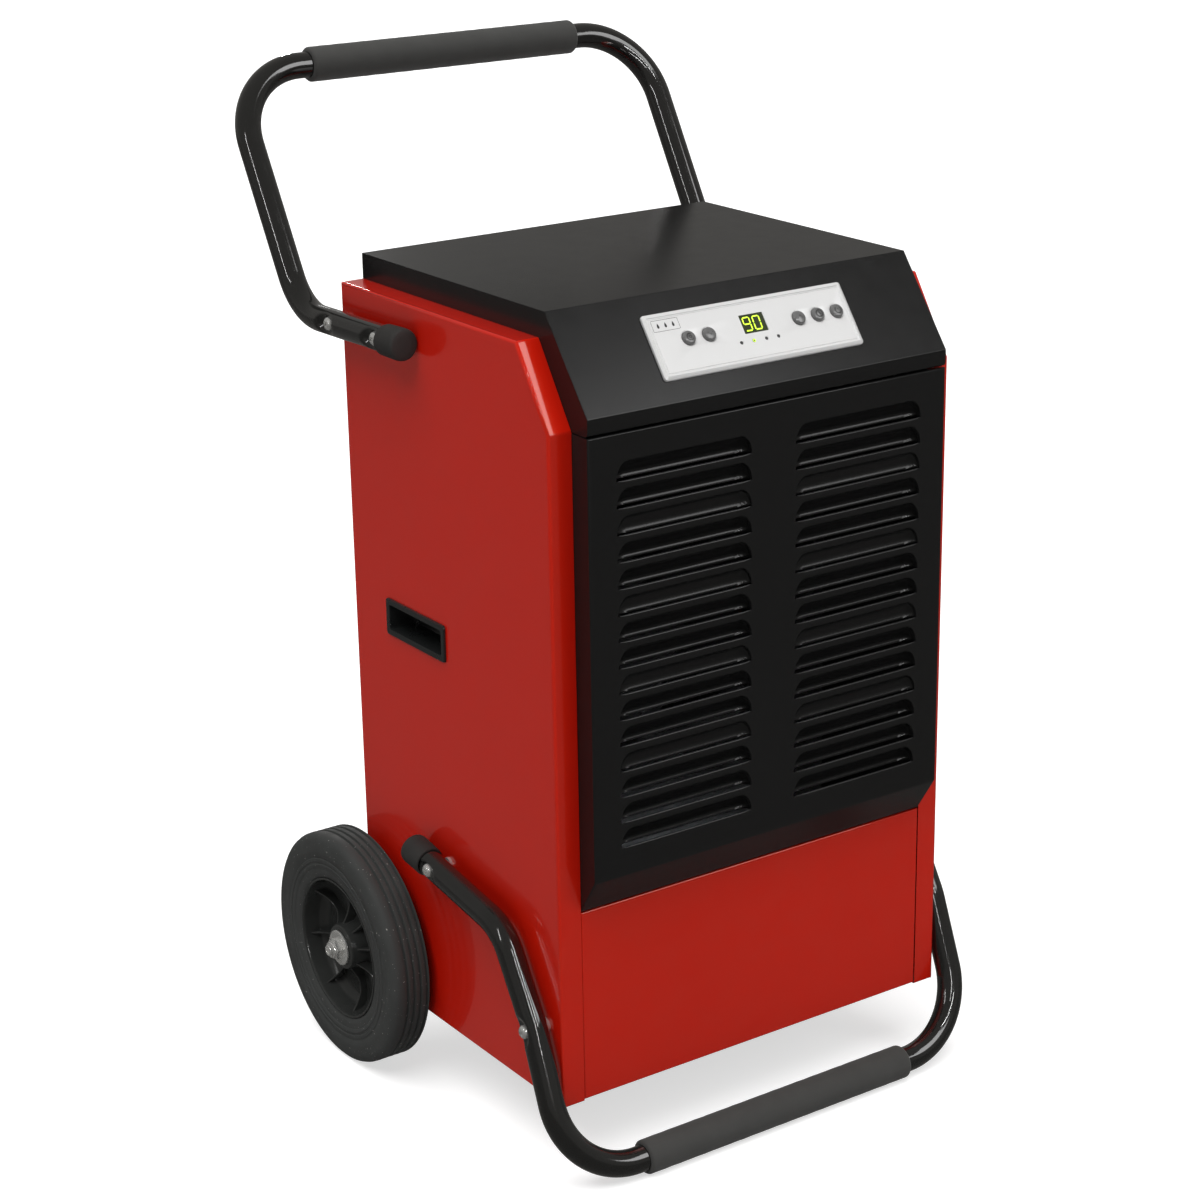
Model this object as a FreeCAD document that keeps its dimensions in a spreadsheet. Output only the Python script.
import FreeCAD, Part
import math
import os
import re
import Sketcher

# A commercial dehumidifier on two wheels, standing on its wheels and its foot bar.
# Frame: millimetres, +Z up, +X towards the machine's own left side, -Y is the front.
# Origin: centre of the footprint, on the floor.

doc = FreeCAD.newDocument("dehumidifier")
sheet = doc.addObject("Spreadsheet::Sheet", "Dims")

DIMENSIONS = {
    # housing
    "HousingWidth": 445, "HousingDepth": 345, "HousingHeight": 710, "FloorGap": 75,
    "FrontFace": -241.5, "Flange": 24, "Proud": 24, "SheetSteel": 1.2, "CoverSheet": 1.5,
    "ChamferBack": 47, "ChamferDrop": 72.5, "EdgeRound": 3, "Seam": 0.3,
    "FoldBack": 37.4, "LipTop": 57.6, "LipBottom": 73.4, "SkirtDepth": 10,
    # front grille and its louvres
    "TaperTop": 228, "TaperBottom": 191, "GrilleDepth": 12, "LouvreWidth": 145,
    "LouvreInner": 24.5, "LouvrePitch": 24.2, "LouvreFirst": 593.4, "LouvreRows": 15,
    "SlotHeight": 7, "ScoopDepth": 9, "ScoopRise": 16,
    # base, rear panel and intake
    "BaseInset": 16, "BaseDepth": 306, "BaseWall": 66, "RearPanelDepth": 23,
    "IntakeBottom": 255, "IntakeHeight": 350, "IntakeWidth": 300, "IntakeSlot": 12,
    "IntakePitch": 21.5, "IntakeRows": 16, "IntakeRib": 8,
    "FilterThick": 7, "FilterBorder": 10, "FilterGap": 0.6, "RailThick": 2, "PullHeight": 14,
    # controls
    "PlateWidth": 219, "PlateHeight": 62, "PlateThick": 4, "ButtonRadius": 6.5,
    "ButtonGap": 0.35, "ButtonHeight": 2.2, "DisplayWidth": 26,
    "DisplayHeight": 18, "LampRadius": 1.6,
    # tubes, grips and their fixings
    "TubeRadius": 12.5, "TubeWall": 1.5, "GripRadius": 17, "HandleGripLength": 306,
    "FootGripLength": 312, "FootGripRadius": 16.5, "CapRadius": 15, "CapLength": 30,
    "CapEnd": 4, "TubeGap": 2.8, "BarReach": 273, "HandleHeight": 960, "FootBarRise": 16.5,
    "BoltHead": 6.5, "BoltHeadHeight": 5, "BoltRadius": 4, "BoltHole": 4.05,
    "DimpleRadius": 9, "DimpleDepth": 8,
    # wheels
    "WheelRadius": 118, "TyreInner": 72, "TyreWidth": 42.5, "WheelGap": 5, "WheelBack": 335,
    "AxleRadius": 6, "AxleEnd": 278, "HubRadius": 22, "BushRadius": 9, "RunningGap": 0.08,
    "RimWall": 3, "DishDepth": 28, "HubInset": 6.5, "WheelRibs": 8, "WasherRadius": 17.8, "WasherThick": 2.5,
    "NutFlats": 19, "NutHeight": 9,
    # side grips
    "PocketCentreBack": 230, "PocketCentreUp": 400, "PocketLength": 92, "PocketOpening": 24,
    "PocketDepth": 26, "PocketBorder": 6, "PocketProud": 2.5,
    # refrigeration and air path
    "ShelfUp": 150, "CompressorRadius": 62, "CompressorHeight": 105, "CoilWidth": 330,
    "CoilHeight": 420, "CoilThick": 32, "CoilFoot": 170, "CoilTube": 4.8, "CoilRows": 10,
    "FinPitch": 8.25, "FinThick": 1.2, "FanRadius": 142, "FanHub": 36,
    "MotorRadius": 38, "MotorLength": 52, "ShaftRadius": 4, "FanUp": 430, "ShroudBack": -92,
}
for row, (alias, size) in enumerate(DIMENSIONS.items(), start=1):
    sheet.set(f"A{row}", alias)
    sheet.set(f"B{row}", str(size))
    sheet.setAlias(f"B{row}", alias)
doc.recompute()

TOP = "(FloorGap + HousingHeight)"
REAR = "(FrontFace + HousingDepth)"
HALF = "(HousingWidth / 2)"
RIM = "(HousingWidth / 2 - Flange)"
CLEAR_RIM = "(HousingWidth / 2 - Flange - Seam)"
BASE_FRONT = "(FrontFace + BaseInset)"
BASE_REAR = "(FrontFace + BaseInset + BaseDepth)"
BASE_FLOOR = "(FloorGap + CoverSheet)"
SHELF_TOP = "(FloorGap + ShelfUp + CoverSheet)"
AXLE_Y = "(FrontFace + WheelBack)"
TUBE_X = "(HousingWidth / 2 + TubeGap + TubeRadius)"
FOOT_BAR_Y = "-(BarReach + GripRadius - FootGripRadius)"
TUBE_FACE = "(HousingWidth / 2 + TubeGap + 2 * TubeRadius)"
HANDLE_SIDE = [("FrontFace + 206 + CapEnd", "FloorGap + 678.4"),
               ("FrontFace + 393", "FloorGap + 674.5"), ("BarReach", "HandleHeight")]
HANDLE_BENDS = [62, 74]
HANDLE_BOLTS = [("FrontFace + 247", "FloorGap + 677.6"), ("FrontFace + 331", "FloorGap + 675.8")]
FOOT_SIDE = [("FrontFace + 227 - CapEnd", "FloorGap + 183"), ("FrontFace + 70", "FloorGap + 159"),
             ("FrontFace + 22", "FloorGap + 79.5"), (FOOT_BAR_Y, "FootBarRise")]
FOOT_BENDS = [50, 52, 75]
FOOT_BOLTS = [("FrontFace + 186", "FloorGap + 177"), ("FrontFace + 24.5", "FloorGap + 76")]
ALONG = {"x": FreeCAD.Rotation(FreeCAD.Vector(0, 1, 0), 90),
         "y": FreeCAD.Rotation(FreeCAD.Vector(1, 0, 0), -90),
         "z": FreeCAD.Rotation()}
nodes = {}


# ---------- expressions and primitives bound to the sheet ----------

def full(expression):
    """Write each dimension's name as a reference to the sheet."""
    return re.sub(r"\b[A-Z][a-z][A-Za-z]*\b", lambda word: "Dims." + word.group(), str(expression))


def value(expression):
    """The present value of an expression of the sheet's dimensions."""
    return float(sheet.evalExpression(full(expression)))


def bind(target, prop, expression):
    target.setExpression(prop, full(expression))


def place(target, x, y, z, rotation=None):
    if rotation is not None:
        target.Placement = FreeCAD.Placement(FreeCAD.Vector(), rotation)
    for axis, expression in zip("xyz", (x, y, z)):
        bind(target, "Placement.Base." + axis, expression)


def box(name, x, y, z):
    """A box from three (low, high) pairs of expressions."""
    solid = doc.addObject("Part::Box", name)
    for prop, (low, high) in zip(("Length", "Width", "Height"), (x, y, z)):
        bind(solid, prop, f"({high}) - ({low})")
    place(solid, x[0], y[0], z[0])
    return solid


def cylinder(name, radius, length, start, along="z"):
    solid = doc.addObject("Part::Cylinder", name)
    bind(solid, "Radius", radius)
    bind(solid, "Height", length)
    place(solid, *start, ALONG[along])
    return solid


def pipe(name, outer, inner, length, start, along="z"):
    return cut(name, cylinder(name + "_outer", outer, length, start, along),
               [cylinder(name + "_bore", inner, length, start, along)])


def fuse(name, solids):
    joined = doc.addObject("Part::MultiFuse", name)
    joined.Shapes = solids
    return joined


def group(name, solids):
    """Several separate solids kept in one node."""
    together = doc.addObject("Part::Compound", name)
    together.Links = solids
    return together


def cut(name, base, tools):
    removed = doc.addObject("Part::Cut", name)
    removed.Base = base
    removed.Tool = tools[0] if len(tools) == 1 else fuse(name + "_tools", tools)
    return removed


def node(name, item):
    item.Label = name
    nodes[name] = item
    return item


# ---------- sketches and bodies ----------

def plane_of(body, role):
    return next(f for f in body.Origin.OriginFeatures if f.Role == role)


def new_sketch(body, name, role, offset="0"):
    """A sketch on one of its body's origin planes, moved along that plane's normal."""
    sketch = body.newObject("Sketcher::SketchObject", name)
    sketch.AttachmentSupport = [(plane_of(body, role), "")]
    sketch.MapMode = "FlatFace"
    bind(sketch, "AttachmentOffset.Base.z", offset)
    return sketch


def outline(sketch, corners):
    """A closed polygon, each corner held by two distances from the origin."""
    spots = [FreeCAD.Vector(value(u), value(v), 0) for u, v in corners]
    first = sketch.GeometryCount
    count = len(spots)
    for i in range(count):
        sketch.addGeometry(Part.LineSegment(spots[i], spots[(i + 1) % count]))
    for i in range(count):
        after = first + (i + 1) % count
        sketch.addConstraint(Sketcher.Constraint("Coincident", first + i, 2, after, 1))
    for i, (u, v) in enumerate(corners):
        for kind, expression in (("DistanceX", u), ("DistanceY", v)):
            held = Sketcher.Constraint(kind, -1, 1, first + i, 1, value(expression))
            bind(sketch, f"Constraints[{sketch.addConstraint(held)}]", expression)


def rectangle(sketch, u, v):
    outline(sketch, [(u[0], v[0]), (u[1], v[0]), (u[1], v[1]), (u[0], v[1])])


def circle(sketch, u, v, radius):
    centre = FreeCAD.Vector(value(u), value(v), 0)
    ring = sketch.addGeometry(Part.Circle(centre, FreeCAD.Vector(0, 0, 1), value(radius)))
    for kind, expression in (("DistanceX", u), ("DistanceY", v)):
        held = Sketcher.Constraint(kind, -1, 1, ring, 3, value(expression))
        bind(sketch, f"Constraints[{sketch.addConstraint(held)}]", expression)
    size = sketch.addConstraint(Sketcher.Constraint("Radius", ring, value(radius)))
    bind(sketch, f"Constraints[{size}]", radius)


def extrude(body, sketch, kind, length, midplane=False, backwards=False):
    """A Pad or a Pocket of the sketch."""
    feature = body.newObject("PartDesign::" + kind, sketch.Name + "_" + kind.lower())
    feature.Profile = sketch
    sketch.Visibility = False
    bind(feature, "Length", length)
    feature.Midplane = midplane
    feature.Reversed = backwards
    doc.recompute()
    return feature


def subs_where(shape, kind, test):
    """Names of the faces or edges whose middle point passes the test."""
    members = shape.Faces if kind == "Face" else shape.Edges
    return [f"{kind}{i}" for i, m in enumerate(members, start=1) if test(m.CenterOfMass)]


def soften(body, feature, test, radius):
    """Round the edges whose middle point passes the test."""
    rounded = body.newObject("PartDesign::Fillet", body.Name + "_round")
    rounded.Base = (feature, subs_where(feature.Shape, "Edge", test))
    bind(rounded, "Radius", radius)
    doc.recompute()
    return rounded


def hollow(body, feature, test, thickness):
    """Leave a sheet of the given thickness, open where the faces pass the test."""
    shell = body.newObject("PartDesign::Thickness", body.Name + "_shell")
    shell.Base = (feature, subs_where(feature.Shape, "Face", test))
    bind(shell, "Value", thickness)
    shell.Reversed = True
    shell.Join = 1
    doc.recompute()
    return shell


def repeat(body, features, axis_role, pitch, count):
    """The features again and again along one of the body's origin axes."""
    rows = body.newObject("PartDesign::LinearPattern", body.Name + "_rows")
    rows.Originals = features
    rows.Direction = (plane_of(body, axis_role), [""])
    rows.Occurrences = int(value(count))
    bind(rows, "Length", f"{pitch} * ({count} - 1)")
    body.Tip = rows
    doc.recompute()
    return rows


def near(a, b):
    return abs(a - b) < 0.01


# ---------- housing ----------

def side_panel(name, side):
    """A folded steel side with a rim turned in all round, a grip opening and an axle hole."""
    body = doc.addObject("PartDesign::Body", name + "_body")
    start = f"-{HALF}" if side < 0 else RIM
    profile = new_sketch(body, name + "_profile", "YZ_Plane", start)
    outline(profile, [("FrontFace", "FloorGap"), ("FrontFace", f"{TOP} - ChamferDrop"),
                      ("FrontFace + ChamferBack", TOP), (REAR, TOP), (REAR, "FloorGap")])
    blank = extrude(body, profile, "Pad", "Flange")
    outside = side * value(HALF)
    soften(body, blank, lambda c: near(c.x, outside), "EdgeRound")
    wall = "SheetSteel"
    slope = "sqrt(ChamferBack^2 + ChamferDrop^2)"
    low_shift = f"{wall} * ({slope} - ChamferDrop) / ChamferBack"
    high_shift = f"{wall} * ({slope} - ChamferBack) / ChamferDrop"
    skin = f"{HALF} - {wall}" if side > 0 else f"-{HALF} + {wall}"
    room = new_sketch(body, name + "_room", "YZ_Plane", skin)
    outline(room, [(f"FrontFace + {wall}", f"FloorGap + {wall}"),
                   (f"FrontFace + {wall}", f"{TOP} - ChamferDrop - {low_shift}"),
                   (f"FrontFace + ChamferBack + {high_shift}", f"{TOP} - {wall}"),
                   (f"{REAR} - {wall}", f"{TOP} - {wall}"), (f"{REAR} - {wall}", f"FloorGap + {wall}")])
    extrude(body, room, "Pocket", "Flange", backwards=side < 0)
    openings = new_sketch(body, name + "_openings", "YZ_Plane", start)
    middle_y = "FrontFace + PocketCentreBack"
    middle_z = "FloorGap + PocketCentreUp"
    rectangle(openings, (f"{middle_y} - PocketLength / 2 - 2", f"{middle_y} + PocketLength / 2 + 2"),
              (f"{middle_z} - PocketOpening / 2 - 2", f"{middle_z} + PocketOpening / 2 + 2"))
    circle(openings, AXLE_Y, "WheelRadius", "AxleRadius + Seam")
    for y, z in HANDLE_BOLTS + FOOT_BOLTS:
        circle(openings, y, z, "BoltHole")
    extrude(body, openings, "Pocket", "Flange", backwards=True)
    return node(name, body)


def top_cover():
    """The folded black lid with its slanting control face and a short lip."""
    body = doc.addObject("PartDesign::Body", "top_cover_body")
    profile = new_sketch(body, "cover_profile", "YZ_Plane")
    front = "FrontFace - Proud"
    outline(profile, [(REAR, f"{TOP} - SkirtDepth"), (REAR, f"{TOP} + Proud"),
                      ("FrontFace + FoldBack", f"{TOP} + Proud"), (front, f"{TOP} - LipTop"),
                      (front, f"{TOP} - LipBottom"), ("FrontFace + GrilleDepth", f"{TOP} - LipBottom")])
    blank = extrude(body, profile, "Pad", f"2 * {CLEAR_RIM}", midplane=True)
    limit = value(CLEAR_RIM)
    soften(body, blank, lambda c: near(abs(c.x), limit) and c.z > value(f"{TOP} - LipTop"),
           "CoverSheet + 0.5")
    wall = "CoverSheet"
    slant = "sqrt((FoldBack + Proud)^2 + (Proud + LipTop)^2)"
    room = new_sketch(body, "cover_room", "YZ_Plane")
    fold_shift = f"{wall} * ({slant} - FoldBack - Proud) / (Proud + LipTop)"
    lip_shift = f"{wall} * ({slant} - Proud - LipTop) / (FoldBack + Proud)"
    outline(room, [(f"{REAR} - {wall}", f"{TOP} - 3 * SkirtDepth"),
                   (f"{REAR} - {wall}", f"{TOP} + Proud - {wall}"),
                   (f"FrontFace + FoldBack + {fold_shift}", f"{TOP} + Proud - {wall}"),
                   (f"{front} + {wall}", f"{TOP} - LipTop - {lip_shift}"),
                   (f"{front} + {wall}", f"{TOP} - LipBottom + {wall}"),
                   ("FrontFace + 4 * GrilleDepth", f"{TOP} - LipBottom + {wall}")])
    extrude(body, room, "Pocket", f"2 * ({CLEAR_RIM} - {wall})", midplane=True)
    windows = new_sketch(body, "control_windows", "XY_Plane", TOP)
    centre_y = "(FrontFace + (FoldBack - Proud) / 2)"
    rectangle(windows, ("-PlateWidth / 2 + 12", "PlateWidth / 2 - 12"),
              (f"{centre_y} - 12", f"{centre_y} + 12"))
    extrude(body, windows, "Pocket", "Proud + 60", midplane=True)
    return node("top_cover", body)


def front_grille():
    """The black front sheet with two columns of louvres pressed inwards."""
    body = doc.addObject("PartDesign::Body", "front_grille_body")
    profile = new_sketch(body, "grille_profile", "YZ_Plane")
    front = "FrontFace - Proud"
    back = "FrontFace + GrilleDepth"
    head = f"{TOP} - LipBottom - 1"
    outline(profile, [(front, head), (front, "FloorGap + TaperTop"),
                      ("FrontFace", "FloorGap + TaperBottom"), (back, "FloorGap + TaperBottom"),
                      (back, head)])
    blank = extrude(body, profile, "Pad", f"2 * {CLEAR_RIM}", midplane=True)
    hollow(body, blank, lambda c: near(c.y, value(back)), "SheetSteel")
    inner = f"{front} + SheetSteel"
    slot_foot = "FloorGap + LouvreFirst - LouvrePitch * (LouvreRows - 1)"
    for column, start in (("left", "-LouvreInner - LouvreWidth"), ("right", "LouvreInner")):
        scoop = new_sketch(body, column + "_scoop", "YZ_Plane", start)
        outline(scoop, [(inner, f"{slot_foot} + ScoopRise"), (inner, f"{slot_foot} + ScoopRise - 2.4"),
                        (f"{inner} + ScoopDepth - 2", f"{slot_foot} + 3"),
                        (f"{inner} + ScoopDepth", f"{slot_foot} + 3")])
        blade = extrude(body, scoop, "Pad", "LouvreWidth")
        opening = new_sketch(body, column + "_slot", "YZ_Plane", start)
        rectangle(opening, (f"{front} - 1", f"{inner} + 0.2"),
                  (slot_foot, f"{slot_foot} + SlotHeight"))
        slot = extrude(body, opening, "Pocket", "LouvreWidth", backwards=True)
        rows = body.newObject("PartDesign::LinearPattern", column + "_rows")
        rows.Originals = [blade, slot]
        rows.Direction = (plane_of(body, "Z_Axis"), [""])
        rows.Occurrences = int(value("LouvreRows"))
        bind(rows, "Length", "LouvrePitch * (LouvreRows - 1)")
        body.Tip = rows
        doc.recompute()
    return node("front_grille", body)


def tray(name, x, y, z, open_face, thickness, corner=None):
    """A sheet tray with one open face, from three (low, high) pairs."""
    body = doc.addObject("PartDesign::Body", name + "_body")
    floor = new_sketch(body, name + "_floor", "XY_Plane", z[0])
    rectangle(floor, x, y)
    blank = extrude(body, floor, "Pad", f"({z[1]}) - ({z[0]})")
    if corner:
        middle = value(f"({z[0]} + {z[1]}) / 2")
        blank = soften(body, blank, lambda c: near(c.z, middle), corner)
    hollow(body, blank, open_face, thickness)
    return body


def front_lower_panel():
    span = (f"-{CLEAR_RIM}", CLEAR_RIM)
    body = tray("front_lower_panel", span, ("FrontFace", "FrontFace + BaseInset - 1"),
                ("FloorGap + 1.6", "FloorGap + TaperBottom - 1"),
                lambda c: near(c.y, value("FrontFace + BaseInset - 1")), "SheetSteel")
    return node("front_lower_panel", body)


def rear_panel():
    """The red back with an intake of slots and three rails that hold the air filter."""
    span = (f"-{CLEAR_RIM}", CLEAR_RIM)
    depth = (f"{REAR} - RearPanelDepth", REAR)
    body = tray("rear_panel", span, depth,
                ("FloorGap + BaseWall + 0.5", f"{TOP} - SkirtDepth - 5"),
                lambda c: near(c.y, value(depth[0])), "SheetSteel")
    low = "FloorGap + IntakeBottom"
    slots = new_sketch(body, "intake_slots", "XZ_Plane", f"-({REAR} + 1)")
    third = "(IntakeWidth - 2 * IntakeRib) / 3"
    for column in range(3):
        left = f"-IntakeWidth / 2 + {column} * ({third} + IntakeRib)"
        rectangle(slots, (left, f"{left} + {third}"), (low, f"{low} + IntakeSlot"))
    row = extrude(body, slots, "Pocket", "RearPanelDepth - 5", backwards=True)
    repeat(body, [row], "Z_Axis", "IntakePitch", "IntakeRows")
    edge = "(IntakeWidth / 2 + FilterBorder + FilterGap)"
    rails = []
    lip_front = f"{REAR} + FilterThick + 2 * FilterGap"
    lip_back = f"{lip_front} + RailThick"
    lips = (("side", edge, f"{edge} + RailThick", REAR, lip_back),
            ("lip", f"{edge} - 5", edge, lip_front, lip_back))
    for side in (-1, 1):
        for part, near_x, far_x, near_y, far_y in lips:
            x = (near_x, far_x) if side > 0 else (f"-({far_x})", f"-({near_x})")
            rails.append(box(f"rail_{part}_{side + 1}", x, (near_y, far_y),
                             (f"{low} - FilterBorder - RailThick", f"{low} + IntakeHeight")))
    rails.append(box("rail_foot", (f"-{edge}", edge), (REAR, lip_back),
                     (f"{low} - FilterBorder - RailThick", f"{low} - FilterBorder")))
    return node("rear_panel", fuse("rear_panel_with_rails", [body] + rails))


def base_pan():
    body = tray("base_pan", (f"-{CLEAR_RIM}", CLEAR_RIM), (BASE_FRONT, BASE_REAR),
                ("FloorGap", "FloorGap + BaseWall"),
                lambda c: near(c.z, value("FloorGap + BaseWall")), "CoverSheet")
    return node("base_pan", body)


def partition_shelf():
    """The shelf between the compressor room below and the air path above."""
    span = (f"-{CLEAR_RIM} + 1", f"{CLEAR_RIM} - 1")
    shelf = box("shelf_sheet", span, (BASE_FRONT, f"{REAR} - RearPanelDepth - 1"),
                ("FloorGap + ShelfUp", SHELF_TOP))
    hole = box("shelf_drain_hole", ("-60", "-30"), ("40", "66"),
               ("FloorGap + ShelfUp - 1", f"{SHELF_TOP} + 1"))
    pipe_hole = box("shelf_pipe_hole", ("148", "194"), ("-20", "66"),
                    ("FloorGap + ShelfUp - 1", f"{SHELF_TOP} + 1"))
    return node("partition_shelf", cut("shelf", shelf, [hole, pipe_hole]))


def side_grip(name, side):
    """A moulded pocket with a border, pushed into the side panel's opening."""
    middle_y = "(FrontFace + PocketCentreBack)"
    middle_z = "(FloorGap + PocketCentreUp)"

    def across(near_face, far_face):
        return (near_face, far_face) if side > 0 else (f"-({far_face})", f"-({near_face})")

    def block(part, grow, near_face, far_face):
        return box(f"{name}_{part}", across(near_face, far_face),
                   (f"{middle_y} - PocketLength / 2 - {grow}", f"{middle_y} + PocketLength / 2 + {grow}"),
                   (f"{middle_z} - PocketOpening / 2 - {grow}", f"{middle_z} + PocketOpening / 2 + {grow}"))

    border = block("border", "PocketBorder", HALF, f"{HALF} + PocketProud")
    cup = block("cup", "1.8", f"{HALF} - PocketDepth", HALF)
    inside = block("inside", "0", f"{HALF} - PocketDepth + 1.8", f"{HALF} + PocketProud + 1")
    return node(name, cut(name + "_moulding", fuse(name + "_blank", [border, cup]), [inside]))


# ---------- control panel, built flat and then laid on the slanting face ----------

FACE_TILT = math.degrees(math.atan2(value("Proud + LipTop"), value("FoldBack + Proud")))


def lay_on_face(name, item):
    """Turn a piece, built about its own origin, on to the middle of the control face."""
    holder = doc.addObject("Part::Compound", name + "_placed")
    holder.Links = [item]
    place(holder, "0", "FrontFace + (FoldBack - Proud) / 2", f"{TOP} + (Proud - LipTop) / 2",
          FreeCAD.Rotation(FreeCAD.Vector(1, 0, 0), FACE_TILT))
    return node(name, holder)


BUTTON_SPOTS = {"button_cycle": -70.4, "button_down": -48.5, "button_up": 50.5,
                "button_timer": 72, "button_power": 93.5}
BUTTON_ROW = "3.5"
DISPLAY_SPOT = ("1.3", "6.5")
LAMP_SPOTS = (-19.1, -5.4, 8.4, 21.7)
LAMP_ROW = "-9.7"


def control_panel():
    """A raised plate with holes for the buttons, display and lamps, and those pieces."""
    half = "PlateThick / 2"
    plate = box("bezel_plate", ("-PlateWidth / 2", "PlateWidth / 2"),
                ("-PlateHeight / 2", "PlateHeight / 2"), ("0", "PlateThick"))
    holes = []
    for name, spot in BUTTON_SPOTS.items():
        at = (str(spot), BUTTON_ROW, "-1")
        holes.append(cylinder(name + "_hole", "ButtonRadius + ButtonGap", "PlateThick + 2", at))
    x, y = DISPLAY_SPOT
    holes.append(box("display_hole", (f"{x} - DisplayWidth / 2", f"{x} + DisplayWidth / 2"),
                     (f"{y} - DisplayHeight / 2", f"{y} + DisplayHeight / 2"), ("-1", "PlateThick + 1")))
    for i, spot in enumerate(LAMP_SPOTS):
        holes.append(cylinder(f"lamp_hole_{i}", "LampRadius", "PlateThick + 2", (str(spot), LAMP_ROW, "-1")))
    lay_on_face("control_bezel", cut("bezel", plate, holes))
    window = box("window_block", (f"{x} - DisplayWidth / 2", f"{x} + DisplayWidth / 2"),
                 (f"{y} - DisplayHeight / 2", f"{y} + DisplayHeight / 2"), (half, "PlateThick - 0.4"))
    lay_on_face("display_window", window)
    lamps = [cylinder(f"lamp_{i}", "LampRadius", f"{half} + 0.3", (str(spot), LAMP_ROW, half))
             for i, spot in enumerate(LAMP_SPOTS)]
    lay_on_face("indicator_lamps", group("lamps", lamps))
    for name, spot in BUTTON_SPOTS.items():
        start = (str(spot), BUTTON_ROW, half)
        cap = cylinder(name + "_cap", "ButtonRadius", f"{half} + ButtonHeight", start)
        lay_on_face(name, cap)
    board = box("board_block", ("-PlateWidth / 2 + 14", "PlateWidth / 2 - 14"), ("-14", "14"), ("-8", "-6.4"))
    stems = []
    for i, spot in enumerate((-90, 90)):
        stems.append(cylinder(f"board_stem_{i}", "2", "7", (str(spot), "-12", "-7")))
    lay_on_face("control_board", fuse("board_with_stems", [board] + stems))


# ---------- bent tubes ----------

def rounded_path(corners, radii):
    """Straight runs joined by tangent arcs."""
    edges = []
    start = corners[0]
    for before, corner, after, radius in zip(corners, corners[1:], corners[2:], radii):
        incoming = (before - corner).normalize()
        outgoing = (after - corner).normalize()
        half_angle = incoming.getAngle(outgoing) / 2
        reach = radius / math.tan(half_angle)
        bisector = (incoming + outgoing).normalize()
        centre = corner + bisector * (radius / math.sin(half_angle))
        first = corner + incoming * reach
        last = corner + outgoing * reach
        edges.append(Part.LineSegment(start, first).toShape())
        edges.append(Part.Arc(first, centre - bisector * radius, last).toShape())
        start = last
    edges.append(Part.LineSegment(start, corners[-1]).toShape())
    return Part.Wire(edges)


def swept(path, radius):
    start = path.Edges[0].Vertexes[0].Point
    direction = path.Edges[0].tangentAt(path.Edges[0].FirstParameter)
    ring = Part.Wire([Part.Circle(start, direction, radius).toShape()])
    return path.makePipeShell([ring], True, False, 2)


def loop_path(side_corners, bends):
    """A U of tube: one side's corners, then the same on the other side in mirror."""
    left = [FreeCAD.Vector(-value(TUBE_X), value(y), value(z)) for y, z in side_corners]
    right = [FreeCAD.Vector(-spot.x, spot.y, spot.z) for spot in reversed(left)]
    return rounded_path(left + right, bends + bends[::-1])


def bolt_spots(spots):
    """(side, y, z) of every bolt of a loop."""
    return [(side, y, z) for side in (-1, 1) for y, z in spots]


def bolt_tool(side, y, z, radius, near_face, far_face):
    """A cylinder across the tube at a bolt, between two distances from the middle."""
    start = FreeCAD.Vector(side * value(near_face), value(y), value(z))
    return Part.makeCylinder(radius, value(f"({far_face}) - ({near_face})"), start,
                             FreeCAD.Vector(side, 0, 0))


def tube_loop(name, side_corners, bends, spots):
    """A bent steel tube, pressed in round each bolt so that the bolt's head sits in a cup."""
    path = loop_path(side_corners, bends)
    outer = swept(path, value("TubeRadius"))
    inner = swept(path, value("TubeRadius - TubeWall"))
    wall = value("TubeWall")
    for side, y, z in bolt_spots(spots):
        outer = outer.cut(bolt_tool(side, y, z, value("DimpleRadius"),
                                    f"{TUBE_FACE} - DimpleDepth", f"{TUBE_FACE} + 1"))
        inner = inner.cut(bolt_tool(side, y, z, value("DimpleRadius") + wall,
                                    f"{TUBE_FACE} - DimpleDepth - TubeWall", f"{TUBE_FACE} + 1"))
    shape = outer.cut(inner)
    for side, y, z in bolt_spots(spots):
        shape = shape.cut(bolt_tool(side, y, z, value("BoltHole"), f"{HALF} - 1", f"{TUBE_FACE} + 1"))
    feature = doc.addObject("Part::Feature", name + "_shape")
    feature.Shape = shape
    return node(name, feature)


def along_x(kind, name, side, near_face, length, y, z, sizes):
    """A round or six-sided piece that points out of one side of the machine."""
    piece = doc.addObject("Part::" + kind, name)
    for prop, expression in sizes.items():
        bind(piece, prop, expression)
    bind(piece, "Height", length)
    sign = "" if side > 0 else "-"
    outward = FreeCAD.Rotation(FreeCAD.Vector(0, 1, 0), 90 * side)
    place(piece, f"{sign}({near_face})", y, z, outward)
    return piece


def tube_bolts(name, spots):
    """Bolts through the tube and the side panel, each with a spacer and a nut inside."""
    bolts = []
    for i, (side, y, z) in enumerate(bolt_spots(spots)):
        seat = f"{TUBE_FACE} - DimpleDepth"
        shank = along_x("Cylinder", f"{name}_shank_{i}", side, f"{HALF} - 10", f"{seat} - {HALF} + 10",
                        y, z, {"Radius": "BoltRadius"})
        head = along_x("Cylinder", f"{name}_head_{i}", side, seat, "BoltHeadHeight", y, z,
                       {"Radius": "BoltHead"})
        spacer = along_x("Cylinder", f"{name}_spacer_{i}", side, HALF, "TubeGap", y, z,
                         {"Radius": "BoltRadius + 3"})
        nut = along_x("Prism", f"{name}_nut_{i}", side, f"{HALF} - SheetSteel - 6.5", "6.5", y, z,
                      {"Circumradius": "7.5"})
        bolts.append(fuse(f"{name}_{i}", [shank, head, spacer, nut]))
    return node(name, group(name + "_set", bolts))


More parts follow.
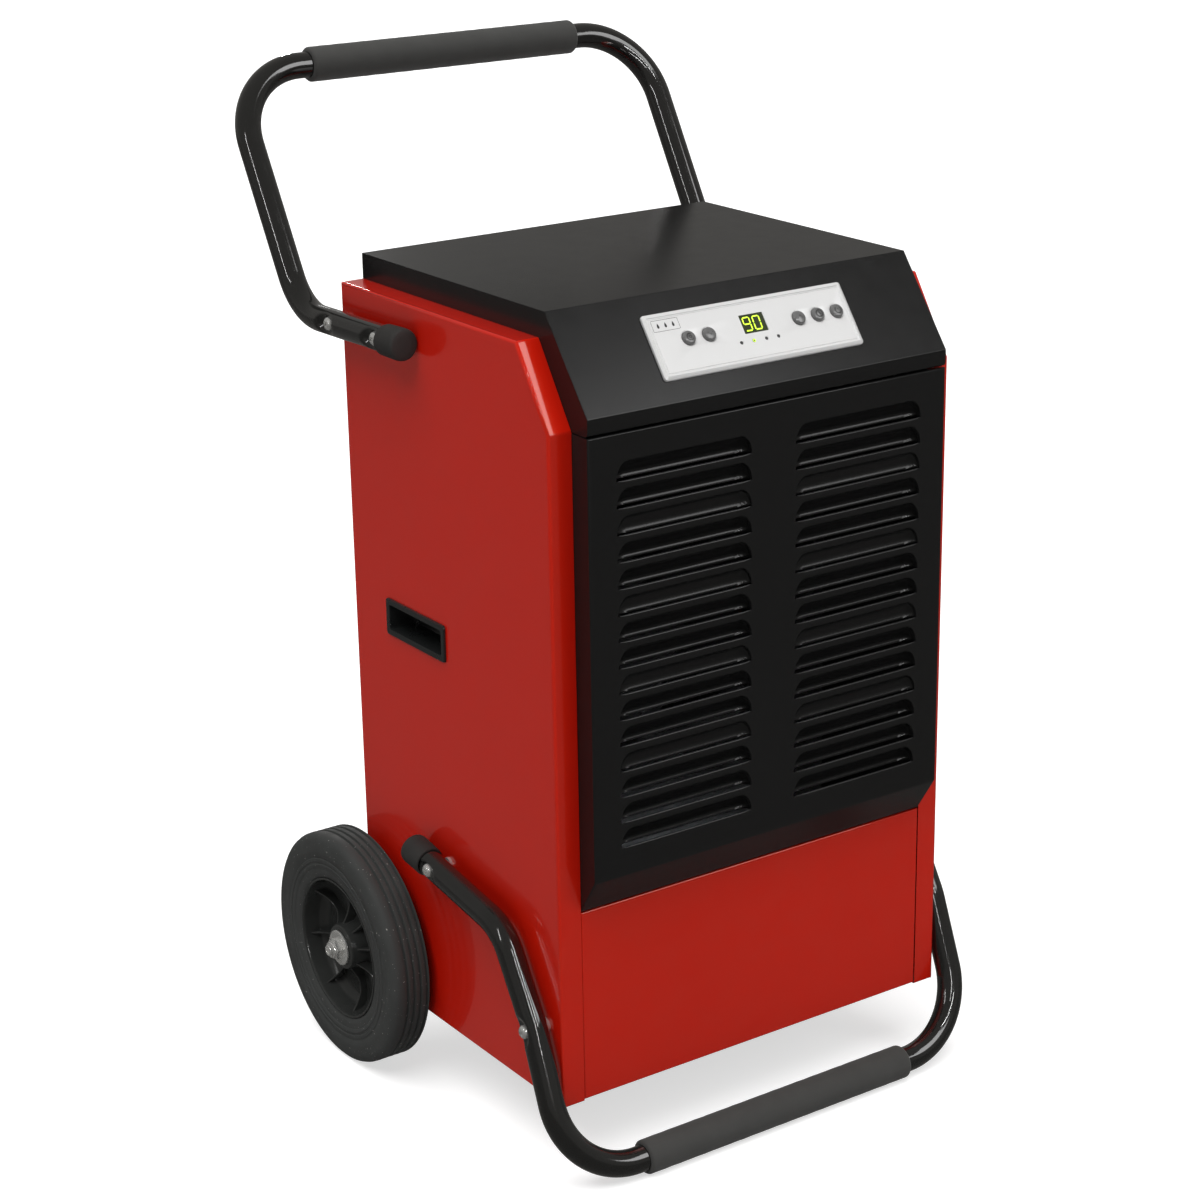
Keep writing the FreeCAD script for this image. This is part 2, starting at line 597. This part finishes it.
def grip(name, length, radius, y, z):
    start = (f"-{length} / 2", y, z)
    return node(name, pipe(name + "_foam", radius, "TubeRadius", length, start, "x"))


def end_caps(name, side_corners):
    """Rubber caps pushed over the two open ends of a tube loop."""
    (y0, z0), (y1, z1) = [(value(y), value(z)) for y, z in side_corners[:2]]
    inward = FreeCAD.Vector(0, y1 - y0, z1 - z0).normalize()
    turn = FreeCAD.Rotation(FreeCAD.Vector(0, 0, 1), inward)
    caps = []
    for i, side in enumerate((-1, 1)):
        end = FreeCAD.Vector(side * value(TUBE_X), y0, z0)
        solids = []
        face = end - inward * value("CapEnd")
        for part, radius, start in (("whole", "CapRadius", face), ("socket", "TubeRadius", end)):
            solid = doc.addObject("Part::Cylinder", f"{name}_{part}_{i}")
            bind(solid, "Radius", radius)
            bind(solid, "Height", "CapLength")
            solid.Placement = FreeCAD.Placement(start, turn)
            solids.append(solid)
        caps.append(cut(f"{name}_{i}", solids[0], [solids[1]]))
    return node(name, group(name + "_pair", caps))


# ---------- wheels and axle ----------

def turned(name, corners, side):
    """A ring turned about the axle from (outward, radius) corners, on one side."""
    body = doc.addObject("PartDesign::Body", name + "_body")
    profile = new_sketch(body, name + "_profile", "XY_Plane")
    outline(profile, corners)
    ring = body.newObject("PartDesign::Revolution", name + "_ring")
    ring.Profile = profile
    ring.ReferenceAxis = (profile, ["H_Axis"])
    ring.Angle = 360
    profile.Visibility = False
    turn = FreeCAD.Rotation(FreeCAD.Vector(0, 0, 1), 0 if side > 0 else 180)
    sign = "" if side > 0 else "-"
    place(body, f"{sign}({HALF} + WheelGap)", AXLE_Y, "WheelRadius", turn)
    return node(name, body)


def wheel(word, side):
    width = "TyreWidth"
    turned("tyre_" + word, [("5", "TyreInner"), ("0", "TyreInner + 14"), ("0", "WheelRadius - 9"),
                            ("3", "WheelRadius - 3"), ("9", "WheelRadius"),
                            (f"{width} - 9", "WheelRadius"), (f"{width} - 3", "WheelRadius - 3"),
                            (width, "WheelRadius - 9"), (width, "TyreInner + 14"),
                            (f"{width} - 5", "TyreInner")], side)
    mouth = f"{width} - 3"
    hub = f"{width} - HubInset"
    web = f"{width} - 3 - DishDepth"
    barrel = "TyreInner - RimWall"
    middle = "(HubRadius + TyreInner) / 2"
    rim = turned("wheel_rim_" + word, [("1.5", "BushRadius"), (hub, "BushRadius"), (hub, "HubRadius"),
                                       (f"{web} + 3", "HubRadius + 3"), (f"{web} + 3", f"{barrel} - 6"),
                                       (mouth, barrel), (mouth, "TyreInner"), ("4", "TyreInner"),
                                       ("4", barrel), (web, f"{barrel} - 6"), (web, "HubRadius + 3"),
                                       ("1.5", "HubRadius")], side)
    sketch = new_sketch(rim, f"rib_{word}", "XY_Plane")
    outline(sketch, [(f"{web} + 2", "HubRadius - 1"), (f"{hub} - 6", "HubRadius - 1"), (f"{web} + 9", middle),
                     (f"{mouth} - 7", f"{barrel} - 1"), (f"{web} + 2", f"{barrel} - 5")])
    rib = extrude(rim, sketch, "Pad", "2.4", midplane=True)
    ribs = rim.newObject("PartDesign::PolarPattern", f"ribs_{word}")
    ribs.Originals = [rib]
    ribs.Axis = (plane_of(rim, "X_Axis"), [""])
    ribs.Occurrences = int(value("WheelRibs"))
    ribs.Angle = 360
    rim.Tip = ribs
    turned("hub_bush_" + word, [("1", "AxleRadius + RunningGap"), (hub, "AxleRadius + RunningGap"),
                                (hub, "BushRadius"), ("1", "BushRadius")], side)


def axle_parts():
    node("axle", cylinder("axle_rod", "AxleRadius", "2 * AxleEnd", ("-AxleEnd", AXLE_Y, "WheelRadius"), "x"))
    hub_face = f"{HALF} + WheelGap + TyreWidth - HubInset"
    washers = []
    nuts = []
    for side in (-1, 1):
        word = side + 1
        for part, near_face, length, radius in (
                ("inner", HALF, "WheelGap + 1 - Seam", "WasherRadius - 3"),
                ("outer", f"{hub_face} + Seam", "WasherThick", "WasherRadius")):
            disc = along_x("Cylinder", f"washer_{part}_{word}", side, near_face, length, AXLE_Y,
                           "WheelRadius", {"Radius": radius})
            hole = along_x("Cylinder", f"washer_{part}_hole_{word}", side, f"{near_face} - 1",
                           f"{length} + 2", AXLE_Y, "WheelRadius", {"Radius": "AxleRadius"})
            washers.append(cut(f"washer_{part}_ring_{word}", disc, [hole]))
        seat = f"{hub_face} + Seam + WasherThick"
        blank = along_x("Prism", f"nut_blank_{word}", side, seat, "NutHeight", AXLE_Y, "WheelRadius",
                        {"Circumradius": "NutFlats / sqrt(3)"})
        hole = along_x("Cylinder", f"nut_hole_{word}", side, f"{seat} - 1", "NutHeight + 2", AXLE_Y,
                       "WheelRadius", {"Radius": "AxleRadius"})
        nuts.append(cut(f"nut_{word}", blank, [hole]))
    node("axle_washers", group("washer_set", washers))
    node("axle_nuts", group("nut_set", nuts))
    brackets = []
    for side in (-1, 1):
        x = (f"{RIM} - 8", f"{RIM} - 3") if side > 0 else (f"-({RIM} - 3)", f"-({RIM} - 8)")
        plate = box(f"bracket_plate_{side + 1}", x, (BASE_REAR, f"{REAR} - SheetSteel - 0.6"),
                    ("WheelRadius - 25", "WheelRadius + 20"))
        foot_x = (f"{RIM} - 30", x[1]) if side > 0 else (x[0], f"-({RIM} - 30)")
        foot = box(f"bracket_foot_{side + 1}", foot_x, (BASE_REAR, f"{BASE_REAR} + 3"),
                   ("WheelRadius - 25", "WheelRadius + 20"))
        hole = cylinder(f"bracket_hole_{side + 1}", "AxleRadius", "60",
                        (f"{RIM} - 40" if side > 0 else f"-({RIM} + 10)", AXLE_Y, "WheelRadius"), "x")
        brackets.append(cut(f"bracket_{side + 1}", fuse(f"bracket_blank_{side + 1}", [plate, foot]), [hole]))
    node("axle_brackets", group("bracket_set", brackets))


# ---------- refrigeration, air path and water ----------

COMPRESSOR_X, COMPRESSOR_Y = "105", "-70"
COMPRESSOR_FOOT = f"{BASE_FLOOR} + 12"


def compressor_parts():
    plate_top = f"{COMPRESSOR_FOOT} + 3"
    plate = box("compressor_plate", (f"{COMPRESSOR_X} - 70", f"{COMPRESSOR_X} + 70"),
                (f"{COMPRESSOR_Y} - 70", f"{COMPRESSOR_Y} + 70"), (COMPRESSOR_FOOT, plate_top))
    middle = (COMPRESSOR_X, COMPRESSOR_Y)
    can = cylinder("compressor_can", "CompressorRadius", "CompressorHeight", (*middle, plate_top))
    crown = doc.addObject("Part::Cone", "compressor_crown")
    bind(crown, "Radius1", "CompressorRadius")
    bind(crown, "Radius2", "CompressorRadius - 24")
    bind(crown, "Height", "14")
    place(crown, *middle, f"{plate_top} + CompressorHeight")
    accumulator = cylinder("accumulator", "18", "80", (f"{COMPRESSOR_X} - CompressorRadius - 14",
                                                      COMPRESSOR_Y, f"{plate_top} + 20"))
    node("compressor", fuse("compressor_welded", [plate, can, crown, accumulator]))
    feet = [cylinder(f"compressor_foot_{x}_{y}", "9", "12",
                     (f"{COMPRESSOR_X} + {x}", f"{COMPRESSOR_Y} + {y}", BASE_FLOOR))
            for x in (-56, 56) for y in (-56, 56)]
    node("compressor_feet", group("compressor_foot_set", feet))


def coil(name, near_y):
    """Thin fins on a column of straight tubes."""
    foot = value("FloorGap + CoilFoot")
    width, height, depth = value("CoilWidth"), value("CoilHeight"), value("CoilThick")
    pitch = value("FinPitch")
    fin_count = int(width / pitch)
    fins = []
    for i in range(fin_count + 1):
        spot = FreeCAD.Vector(-width / 2 + i * pitch, near_y, foot)
        fins.append(Part.makeBox(value("FinThick"), depth, height, spot))
    rows = int(value("CoilRows"))
    tubes = []
    for row in range(rows):
        spot = FreeCAD.Vector(-width / 2 - 13, near_y + depth / 2, foot + height * (row + 0.5) / rows)
        tubes.append(Part.makeCylinder(value("CoilTube"), width + 26, spot, FreeCAD.Vector(1, 0, 0)))
    feature = doc.addObject("Part::Feature", name + "_brazed")
    feature.Shape = fins[0].multiFuse(fins[1:] + tubes)
    return node(name, feature)


def air_path():
    coil("condenser_coil", 2)
    coil("evaporator_coil", 40)
    back = "ShroudBack"
    centre_z = "(FloorGap + FanUp)"
    plate = box("shroud_plate", (f"-{CLEAR_RIM} + 1", f"{CLEAR_RIM} - 1"), (f"{back} - 2", back),
                (SHELF_TOP, f"{TOP} - 50"))
    ring = cylinder("shroud_ring", "FanRadius + 9", "48", ("0", f"{back} - 48", centre_z), "y")
    mouth = cylinder("shroud_mouth", "FanRadius + 6", "60", ("0", f"{back} - 54", centre_z), "y")
    node("fan_shroud", cut("shroud", fuse("shroud_blank", [plate, ring]), [mouth]))
    can = cylinder("motor_can", "MotorRadius", "MotorLength", ("0", back, centre_z), "y")
    bore = cylinder("motor_bore", "ShaftRadius + RunningGap", "MotorLength - 6",
                    ("0", f"{back} - 1", centre_z), "y")
    node("fan_motor", cut("motor", can, [bore]))
    strap = pipe("motor_strap", "MotorRadius + 3", "MotorRadius", "20", ("0", f"{back} + 12", centre_z), "y")
    arms = [strap]
    for end, low, high in (("top", "MotorRadius + 1", "FanRadius + 26"),
                           ("foot", "-FanRadius - 26", "-MotorRadius - 1")):
        arms.append(box(f"motor_arm_{end}", ("-14", "14"), (f"{back} + 20", f"{back} + 23"),
                        (f"{centre_z} + {low}", f"{centre_z} + {high}")))
        tip = "FanRadius + 23" if end == "top" else "-FanRadius - 26"
        arms.append(box(f"motor_foot_{end}", ("-14", "14"), (back, f"{back} + 22"),
                        (f"{centre_z} + {tip}", f"{centre_z} + {tip} + 3")))
    node("motor_bracket", fuse("motor_bracket_welded", arms))
    node("fan_shaft", cylinder("fan_shaft_rod", "ShaftRadius", "MotorLength + 36",
                               ("0", f"{back} - 44", centre_z), "y"))
    fan_blade(centre_z)


def fan_blade(centre_z):
    """A hub with five pitched blades, turned about its own Y axis."""
    hub = cylinder("fan_hub", "FanHub", "34", ("0", "-17", "0"), "y")
    blades = [hub]
    blade_count = 5
    for i in range(blade_count):
        blade = doc.addObject("Part::Box", f"blade_{i}")
        bind(blade, "Length", "62")
        bind(blade, "Width", "2.4")
        bind(blade, "Height", "FanRadius - FanHub + 4")
        pitch = FreeCAD.Rotation(FreeCAD.Vector(0, 0, 1), 28)
        around = FreeCAD.Rotation(FreeCAD.Vector(0, 1, 0), 360 * i / blade_count)
        root = FreeCAD.Vector(0, 0, value("FanHub") - 4)
        corner = pitch.multVec(FreeCAD.Vector(-31, -1.2, 0))
        blade.Placement = FreeCAD.Placement(around.multVec(root + corner), around.multiply(pitch))
        blades.append(blade)
    rim = pipe("fan_rim", "FanRadius + 1", "FanRadius - 1.5", "12", ("0", "-6", "0"), "y")
    bore = cylinder("fan_bore", "ShaftRadius", "60", ("0", "-30", "0"), "y")
    whole = cut("fan_moulding", fuse("fan_blank", blades + [rim]), [bore])
    holder = doc.addObject("Part::Compound", "fan_placed")
    holder.Links = [whole]
    place(holder, "0", "ShroudBack - 24", centre_z)
    return node("fan_blade", holder)


TANK_X = ("-192", "-20")
TANK_Y = ("-220", "-20")
PIVOT = ("-60", "-100", "175")


def water_parts():
    tray_z = (SHELF_TOP, f"{SHELF_TOP} + 14")
    pan = tray("drip_pan", ("-182", "182"), ("-2", "78"), tray_z,
               lambda c: near(c.z, value(tray_z[1])), "1.2")
    spout = pipe("drip_spout", "9", "7", "30", ("-45", "53", f"{SHELF_TOP} - 29"))
    hole = cylinder("drip_hole", "7", "20", ("-45", "53", f"{SHELF_TOP} - 10"))
    node("drip_tray", cut("drip_tray_drilled", fuse("drip_tray_blank", [pan, spout]), [hole]))
    shell = tray("tank_shell", TANK_X, TANK_Y, (BASE_FLOOR, f"{BASE_FLOOR} + 115"),
                 lambda c: near(c.z, value(f"{BASE_FLOOR} + 115")), "2.5")
    x, y, z = PIVOT
    posts = [box(f"float_post_{i}", (f"{x} - 5", f"{x} + 5"), (f"{y} + {low}", f"{y} + {low} + 4"),
                 (f"{BASE_FLOOR} + 1", f"{z} + 6")) for i, low in enumerate((-9, 5))]
    pin = cylinder("float_pin", "2", "18", (x, f"{y} - 9", z), "y")
    node("condensate_tank", fuse("tank_with_posts", [shell] + posts + [pin]))
    arm = box("float_arm", (f"{x} - 75", f"{x} + 5"), (f"{y} - 4", f"{y} + 4"), (f"{z} - 4", f"{z} + 4"))
    ball = cylinder("float_ball", "16", "28", (f"{x} - 75", y, f"{z} - 30"))
    eye = cylinder("float_eye", "2 + RunningGap", "10", (x, f"{y} - 5", z), "y")
    node("float_switch", cut("float_drilled", fuse("float_blank", [arm, ball]), [eye]))
    bodywork = box("pump_body", ("-150", "-70"), ("0", "56"), (BASE_FLOOR, f"{BASE_FLOOR} + 60"))
    head = cylinder("pump_head", "20", "34", ("-110", "28", f"{BASE_FLOOR} + 60"))
    node("condensate_pump", fuse("pump", [bodywork, head]))


def electric_parts():
    back = "ShroudBack"
    node("electrical_box", box("electrical_block", ("60", "185"), (back, f"{back} + 70"),
                               (f"{TOP} - 105", f"{TOP} - 35")))
    node("run_capacitor", cylinder("capacitor_can", "20", "64", ("0", back, f"{TOP} - 75"), "y"))
    gland_seat = (f"{RIM} - 50", REAR, "FloorGap + 115")
    flange = cylinder("gland_flange", "13", "5", gland_seat, "y")
    dome = doc.addObject("Part::Cone", "gland_dome")
    bind(dome, "Radius1", "11")
    bind(dome, "Radius2", "8")
    bind(dome, "Height", "15")
    place(dome, gland_seat[0], f"{REAR} + 5", gland_seat[2], ALONG["y"])
    way = cylinder("gland_way", "4.5", "30", (gland_seat[0], f"{REAR} - 5", gland_seat[2]), "y")
    node("cable_gland", cut("gland", fuse("gland_blank", [flange, dome]), [way]))
    seat = (f"-{RIM} + 50", REAR, "FloorGap + 115")
    flange = cylinder("spigot_flange", "16", "4", seat, "y")
    stem = cylinder("spigot_stem", "8", "36", seat, "y")
    way = cylinder("spigot_way", "5.5", "50", (seat[0], f"{REAR} - 5", seat[2]), "y")
    node("drain_spigot", cut("spigot", fuse("spigot_blank", [flange, stem]), [way]))


def pipe_run(name, corners, bend, radius):
    """One bent copper pipe between two fittings."""
    spots = [FreeCAD.Vector(*spot) for spot in corners]
    feature = doc.addObject("Part::Feature", name)
    feature.Shape = swept(rounded_path(spots, [bend] * (len(spots) - 2)), radius)
    return feature


def refrigerant_pipes():
    """Suction and discharge pipes from the compressor up through the shelf to the coils."""
    crown = value(f"{COMPRESSOR_FOOT} + 17 + CompressorHeight")
    x, y = float(COMPRESSOR_X), float(COMPRESSOR_Y)
    coil_middle = value("FloorGap + CoilFoot + CoilHeight / 2")
    discharge = pipe_run("discharge_pipe", [(x + 20, y, crown), (x + 20, y, crown + 9),
                                            (x + 50, -12, crown + 9), (x + 50, -12, coil_middle)], 8, 3.2)
    suction_foot = value(f"{COMPRESSOR_FOOT} + 103")
    suction = pipe_run("suction_pipe", [(x - 76, y, suction_foot), (x - 76, y, crown + 10),
                                        (x - 40, 59, crown + 10), (188, 59, crown + 10),
                                        (188, 59, coil_middle)], 8, 4.0)
    node("refrigerant_pipes", group("pipe_set", [discharge, suction]))
    node("filter_drier", cylinder("drier_can", "11", "90", ("184", "-165", BASE_FLOOR)))


def air_filter():
    """A frame with a grid of ribs, and the mesh held in it, in the rails on the back."""
    low = "(FloorGap + IntakeBottom - FilterBorder)"
    high = "(FloorGap + IntakeBottom + IntakeHeight)"
    half = "(IntakeWidth / 2 + FilterBorder)"
    y = (f"{REAR} + FilterGap", f"{REAR} + FilterGap + FilterThick")
    blank = box("filter_blank", (f"-{half}", half), y, (f"{low} + FilterGap", high))
    columns = 4
    rows = 4
    windows = []
    pitch_x = f"(IntakeWidth / {columns})"
    pitch_z = f"((IntakeHeight - FilterBorder) / {rows})"
    for i in range(columns):
        for j in range(rows):
            x = f"-IntakeWidth / 2 + {i} * {pitch_x}"
            z = f"{low} + FilterBorder + {j} * {pitch_z}"
            windows.append(box(f"filter_window_{i}_{j}", (f"{x} + 2", f"{x} + {pitch_x} - 2"),
                               (f"{y[0]} - 1", f"{y[1]} + 1"), (f"{z} + 2", f"{z} + {pitch_z} - 2")))
    pull = box("filter_pull", ("-35", "35"), y, (f"{high} - 1", f"{high} + PullHeight"))
    slit = box("filter_slit", ("-IntakeWidth / 2", "IntakeWidth / 2"), (f"{y[0]} + 3", f"{y[0]} + 4"),
               (f"{low} + FilterBorder", f"{low} + IntakeHeight"))
    node("air_filter_frame", cut("filter_frame", fuse("filter_solid", [blank, pull]), windows + [slit]))
    node("air_filter_mesh", box("filter_mesh", ("-IntakeWidth / 2", "IntakeWidth / 2"),
                                (f"{y[0]} + 3", f"{y[0]} + 4"),
                                (f"{low} + FilterBorder", f"{low} + IntakeHeight")))


def panel_screws():
    """Screw heads down both sides of the back."""
    heads = []
    for side in (-1, 1):
        sign = "" if side > 0 else "-"
        for i, up in enumerate((90, 240, 400, 560, 685)):
            spot = (f"{sign}({RIM} - 9)", REAR, f"FloorGap + {up}")
            heads.append(cylinder(f"screw_{side + 1}_{i}", "4.5", "2.2", spot, "y"))
    node("panel_screws", group("screw_set", heads))


# ---------- assembly ----------

def build():
    for word, side in (("left", 1), ("right", -1)):
        side_panel("side_panel_" + word, side)
        side_grip("side_grip_" + word, side)
        wheel(word, side)
    top_cover()
    front_grille()
    front_lower_panel()
    rear_panel()
    base_pan()
    partition_shelf()
    control_panel()
    tube_loop("push_handle", HANDLE_SIDE, HANDLE_BENDS, HANDLE_BOLTS)
    tube_bolts("push_handle_bolts", HANDLE_BOLTS)
    end_caps("push_handle_end_caps", HANDLE_SIDE)
    grip("push_handle_grip", "HandleGripLength", "GripRadius", "BarReach", "HandleHeight")
    tube_loop("foot_bar", FOOT_SIDE, FOOT_BENDS, FOOT_BOLTS)
    tube_bolts("foot_bar_bolts", FOOT_BOLTS)
    end_caps("foot_bar_end_caps", FOOT_SIDE)
    grip("foot_bar_grip", "FootGripLength", "FootGripRadius", FOOT_BAR_Y, "FootBarRise")
    axle_parts()
    compressor_parts()
    air_path()
    water_parts()
    electric_parts()
    refrigerant_pipes()
    air_filter()
    panel_screws()


def write_parts():
    """Check every object, then write each node's shape to its own file."""
    doc.recompute()
    failed = [item.Name for item in doc.Objects if {"Invalid", "Error"} & set(item.State)]
    if failed:
        raise RuntimeError("failed: " + ", ".join(failed))
    for name, item in nodes.items():
        if item.Shape.isNull() or not item.Shape.isValid():
            raise RuntimeError(f"{name} has no valid shape")
    os.makedirs("parts", exist_ok=True)
    for name, item in nodes.items():
        item.Shape.exportStep(os.path.join("parts", name + ".step"))
        print(name, len(item.Shape.Solids), round(item.Shape.Volume / 1000, 1))
    print(len(nodes), "nodes")


build()
write_parts()
